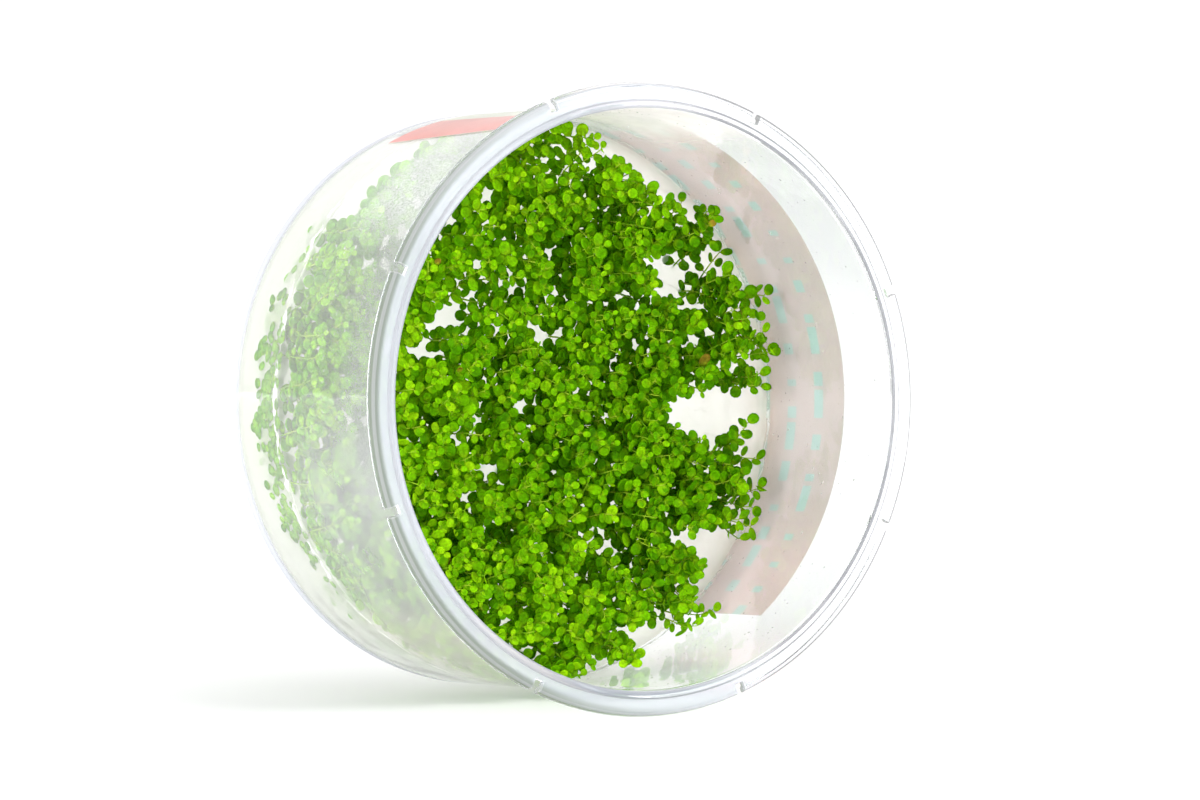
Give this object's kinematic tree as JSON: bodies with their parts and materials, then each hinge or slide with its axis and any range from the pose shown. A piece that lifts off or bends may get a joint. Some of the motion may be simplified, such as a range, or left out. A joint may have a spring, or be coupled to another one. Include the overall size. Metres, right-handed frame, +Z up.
{
  "type": "jar of dwarf baby tears",
  "caption": "Clear culture cup lying open on its side, its base filled with cream nutrient gel under a dense mat of tiny round-leaved aquarium plants, with a label film round the wall.",
  "frame": {"origin": "middle of the footprint of the lying cup, on the surface it rests on", "axes": "+Z up; the mouth of the cup faces -Y and about 4.6 degrees up, its base faces +Y; +X is to the right of someone who looks into the mouth"},
  "size_m": [0.101, 0.061, 0.1007],
  "materials": {
    "clear_plastic": "gloss",
    "label_film": "satin",
    "nutrient_gel": "gloss",
    "foliage": "satin"
  },
  "bodies": {
    "root": {"cup": "clear_plastic", "label": "label_film", "gel": "nutrient_gel", "clump_01": "foliage", "clump_02": "foliage", "clump_03": "foliage", "clump_04": "foliage", "clump_05": "foliage", "clump_06": "foliage", "clump_07": "foliage", "clump_08": "foliage", "clump_09": "foliage", "clump_10": "foliage", "clump_11": "foliage", "clump_12": "foliage", "clump_13": "foliage", "clump_14": "foliage", "clump_15": "foliage", "clump_16": "foliage", "clump_17": "foliage", "clump_18": "foliage", "clump_19": "foliage", "clump_20": "foliage", "clump_21": "foliage", "clump_22": "foliage", "clump_23": "foliage"}
  },
  "joints": []
}
